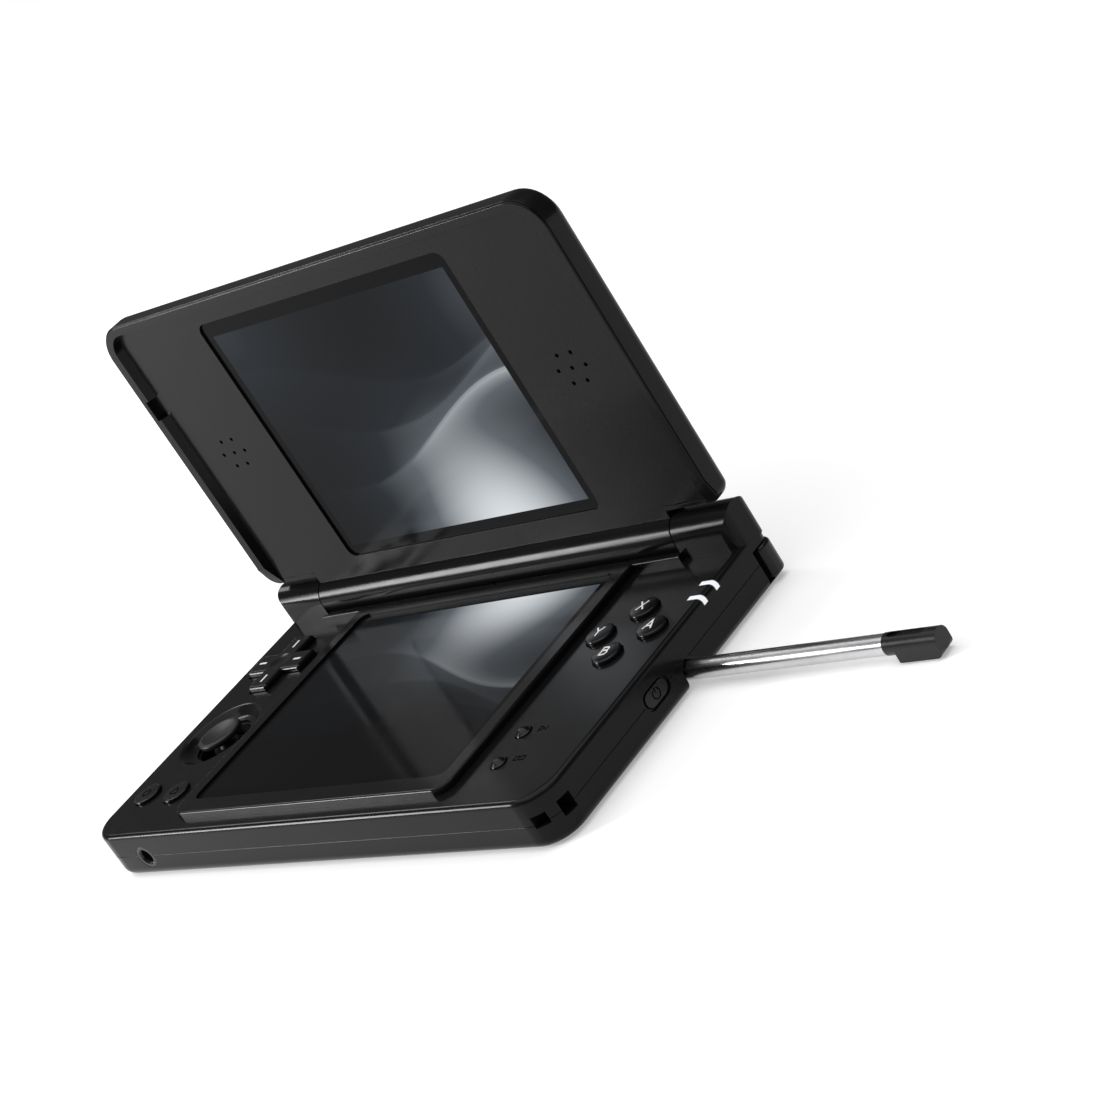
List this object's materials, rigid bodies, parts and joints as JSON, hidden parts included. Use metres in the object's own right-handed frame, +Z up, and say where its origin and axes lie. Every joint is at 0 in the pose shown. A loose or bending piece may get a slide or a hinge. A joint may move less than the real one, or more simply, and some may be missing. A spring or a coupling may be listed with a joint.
{
  "type": "clamshell handheld game console",
  "caption": "Clamshell handheld game console with a screen in each half, thumb stick, cross pad, face and shoulder buttons, friction hinge and a stylus in a side silo.",
  "frame": {"origin": "centre of the base's footprint (hinge bulge included, stylus and shoulder buttons left out), on the table face", "axes": "+X to the player's right along the hinge, +Y to the rear from the player to the hinge, +Z up"},
  "size_m": [0.2196, 0.0904, 0.1004],
  "materials": {
    "shell": "fine matte moulded texture",
    "bezel": "fine matte moulded texture",
    "keys": "satin moulded plastic",
    "stick_rubber": "soft matte rubber",
    "screen_glass": "polished, black border",
    "display": "display panel in a thin metal tray",
    "circuit_board": "solder mask",
    "cell": "wrapped pouch",
    "silicone": "soft matte",
    "steel": "ground",
    "stick_metal": "black anodised",
    "switch_metal": "stamped",
    "light_pipe": "frosted clear plastic",
    "socket_plastic": "smooth",
    "socket_steel": "stamped",
    "screw_steel": "black oxide",
    "sleeve_metal": "turned",
    "flex_film": "amber film",
    "stylus_metal": "polished tube",
    "stylus_plastic": "smooth"
  },
  "bodies": {
    "base": {"base_bottom_shell": "shell", "base_top_shell": "shell", "lower_screen_glass": "screen_glass", "lower_display_module": "display", "main_board": "circuit_board", "battery": "cell", "pad_membrane": "silicone", "keys_membrane": "silicone", "menu_membrane": "silicone", "pad_post": "silicone", "stick_housing": "stick_metal", "power_switch": "switch_metal", "volume_pin": "steel", "volume_switch": "switch_metal", "shoulder_pins": "steel", "shoulder_switches": "switch_metal", "light_pipes": "light_pipe", "headphone_jack": "socket_plastic", "usb_port": "socket_steel", "base_screws": "screw_steel", "hinge_pin_left": "steel", "hinge_pin_right": "steel"},
    "lid": {"lid_outer_cover": "shell", "lid_inner_bezel": "bezel", "upper_screen_glass": "screen_glass", "upper_display_module": "display", "lid_board": "circuit_board", "speaker_left": "switch_metal", "speaker_right": "switch_metal", "hinge_sleeve_left": "sleeve_metal", "hinge_sleeve_right": "sleeve_metal", "barrel_flex": "flex_film", "microphone": "switch_metal", "display_cable": "flex_film"},
    "pad_pivot": {"pad_ball": "steel"},
    "pad": {"cross_pad": "keys"},
    "yoke": {"stick_yoke": "keys"},
    "stick": {"thumb_stick": "stick_rubber"},
    "key_a": {"button_a": "keys"},
    "key_b": {"button_b": "keys"},
    "key_x": {"button_x": "keys"},
    "key_y": {"button_y": "keys"},
    "start": {"start_button": "keys"},
    "select": {"select_button": "keys"},
    "menu_left": {"menu_button_left": "keys"},
    "menu_right": {"menu_button_right": "keys"},
    "power": {"power_button": "keys"},
    "volume": {"volume_rocker": "keys"},
    "shoulder_left": {"shoulder_button_left": "keys"},
    "shoulder_right": {"shoulder_button_right": "keys"},
    "stylus": {"stylus_barrel": "stylus_metal", "stylus_cap": "stylus_plastic", "stylus_tip": "stylus_plastic"}
  },
  "joints": [
    {"name": "lid_hinge", "type": "hinge", "parent": "base", "child": "lid", "pos_m": [0, 0.0402, 0.0162], "axis": [-1, 0, 0], "range_deg": [-90, 90]},
    {"name": "pad_rock_front_rear", "type": "hinge", "parent": "base", "child": "pad_pivot", "pos_m": [-0.06195, 0.0168, 0.0086], "axis": [1, 0, 0], "range_deg": [-3, 3], "stiffness_Nm_per_rad": 0.15},
    {"name": "pad_rock_left_right", "type": "hinge", "parent": "pad_pivot", "child": "pad", "pos_m": [-0.06195, 0.0168, 0.0086], "axis": [0, 1, 0], "range_deg": [-3, 3], "stiffness_Nm_per_rad": 0.15},
    {"name": "stick_tilt_front_rear", "type": "hinge", "parent": "base", "child": "yoke", "pos_m": [-0.06195, -0.00885, 0.0082], "axis": [1, 0, 0], "range_deg": [-11, 11], "stiffness_Nm_per_rad": 0.02},
    {"name": "stick_tilt_left_right", "type": "hinge", "parent": "yoke", "child": "stick", "pos_m": [-0.06195, -0.00885, 0.0082], "axis": [0, 1, 0], "range_deg": [-11, 11], "stiffness_Nm_per_rad": 0.02},
    {"name": "press_a", "type": "slide", "parent": "base", "child": "key_a", "axis": [0, 0, -1], "range_m": [0, 0.0006], "stiffness_N_per_m": 1500},
    {"name": "press_b", "type": "slide", "parent": "base", "child": "key_b", "axis": [0, 0, -1], "range_m": [0, 0.0006], "stiffness_N_per_m": 1500},
    {"name": "press_x", "type": "slide", "parent": "base", "child": "key_x", "axis": [0, 0, -1], "range_m": [0, 0.0006], "stiffness_N_per_m": 1500},
    {"name": "press_y", "type": "slide", "parent": "base", "child": "key_y", "axis": [0, 0, -1], "range_m": [0, 0.0006], "stiffness_N_per_m": 1500},
    {"name": "press_start", "type": "slide", "parent": "base", "child": "start", "axis": [0, 0, -1], "range_m": [0, 0.0005], "stiffness_N_per_m": 1500},
    {"name": "press_select", "type": "slide", "parent": "base", "child": "select", "axis": [0, 0, -1], "range_m": [0, 0.0005], "stiffness_N_per_m": 1500},
    {"name": "press_menu_left", "type": "slide", "parent": "base", "child": "menu_left", "axis": [0, 0, -1], "range_m": [0, 0.0004], "stiffness_N_per_m": 1500},
    {"name": "press_menu_right", "type": "slide", "parent": "base", "child": "menu_right", "axis": [0, 0, -1], "range_m": [0, 0.0004], "stiffness_N_per_m": 1500},
    {"name": "press_power", "type": "slide", "parent": "base", "child": "power", "axis": [-1, 0, 0], "range_m": [0, 0.0006], "stiffness_N_per_m": 1500},
    {"name": "rock_volume", "type": "hinge", "parent": "base", "child": "volume", "pos_m": [-0.0747, -0.004, 0.0061], "axis": [0, 0, 1], "range_deg": [-2.5, 2.5], "stiffness_Nm_per_rad": 0.2},
    {"name": "press_shoulder_left", "type": "hinge", "parent": "base", "child": "shoulder_left", "pos_m": [-0.0636, 0.0416, 0.0051], "axis": [0, 0, 1], "range_deg": [0, 4], "stiffness_Nm_per_rad": 0.3},
    {"name": "press_shoulder_right", "type": "hinge", "parent": "base", "child": "shoulder_right", "pos_m": [0.0636, 0.0416, 0.0051], "axis": [0, 0, -1], "range_deg": [0, 4], "stiffness_Nm_per_rad": 0.3},
    {"name": "stylus_slide", "type": "slide", "parent": "base", "child": "stylus", "axis": [1, 0, 0], "range_m": [-0.065, 0.015]}
  ]
}
